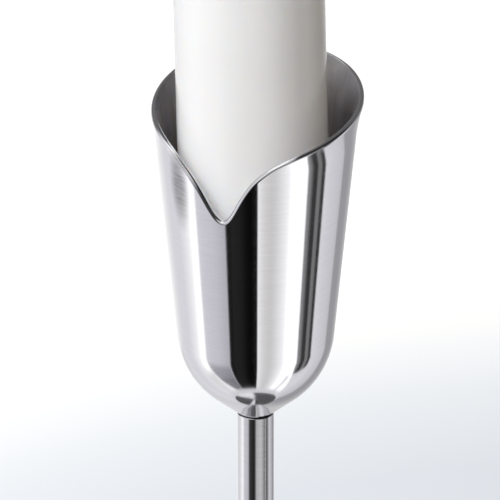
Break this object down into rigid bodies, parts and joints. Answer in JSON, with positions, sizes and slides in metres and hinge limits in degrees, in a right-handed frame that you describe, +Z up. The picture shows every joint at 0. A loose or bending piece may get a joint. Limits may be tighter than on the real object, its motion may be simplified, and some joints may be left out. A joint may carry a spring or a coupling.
{
  "type": "altar candlestick",
  "caption": "Satin steel altar candlestick: a tall petal-like cup with a sloping, notched rim on a slender round stem and a disc base, holding a pillar candle on a spike.",
  "frame": {"origin": "centre of the felt pad's underside, on the surface that the candlestick stands on", "axes": "+Z up along the stem; the notch in the cup's rim faces -Y; +X completes the frame"},
  "size_m": [0.125, 0.125, 0.4597],
  "materials": {
    "satin_steel": "satin",
    "turned_steel": "satin",
    "zinc_steel": "satin",
    "wax": "satin",
    "cotton": "matte",
    "felt": "matte"
  },
  "bodies": {
    "stand": {"felt_pad": "felt", "base_plate": "satin_steel", "base_bush": "turned_steel", "base_washer": "zinc_steel", "spring_washer": "zinc_steel", "base_nut": "zinc_steel", "tie_rod": "zinc_steel", "stem": "satin_steel", "petal_cup": "satin_steel", "cup_saddle": "turned_steel", "pricket_post": "turned_steel", "pricket": "turned_steel"},
    "plate": {"candle_plate": "satin_steel"},
    "candle": {"candle": "wax", "wick": "cotton"}
  },
  "joints": [
    {"name": "plate_lift", "type": "slide", "parent": "stand", "child": "plate", "axis": [0, 0, 1], "range_m": [0, 0.09]},
    {"name": "candle_lift", "type": "slide", "parent": "plate", "child": "candle", "axis": [0, 0, 1], "range_m": [0, 0.09]}
  ]
}
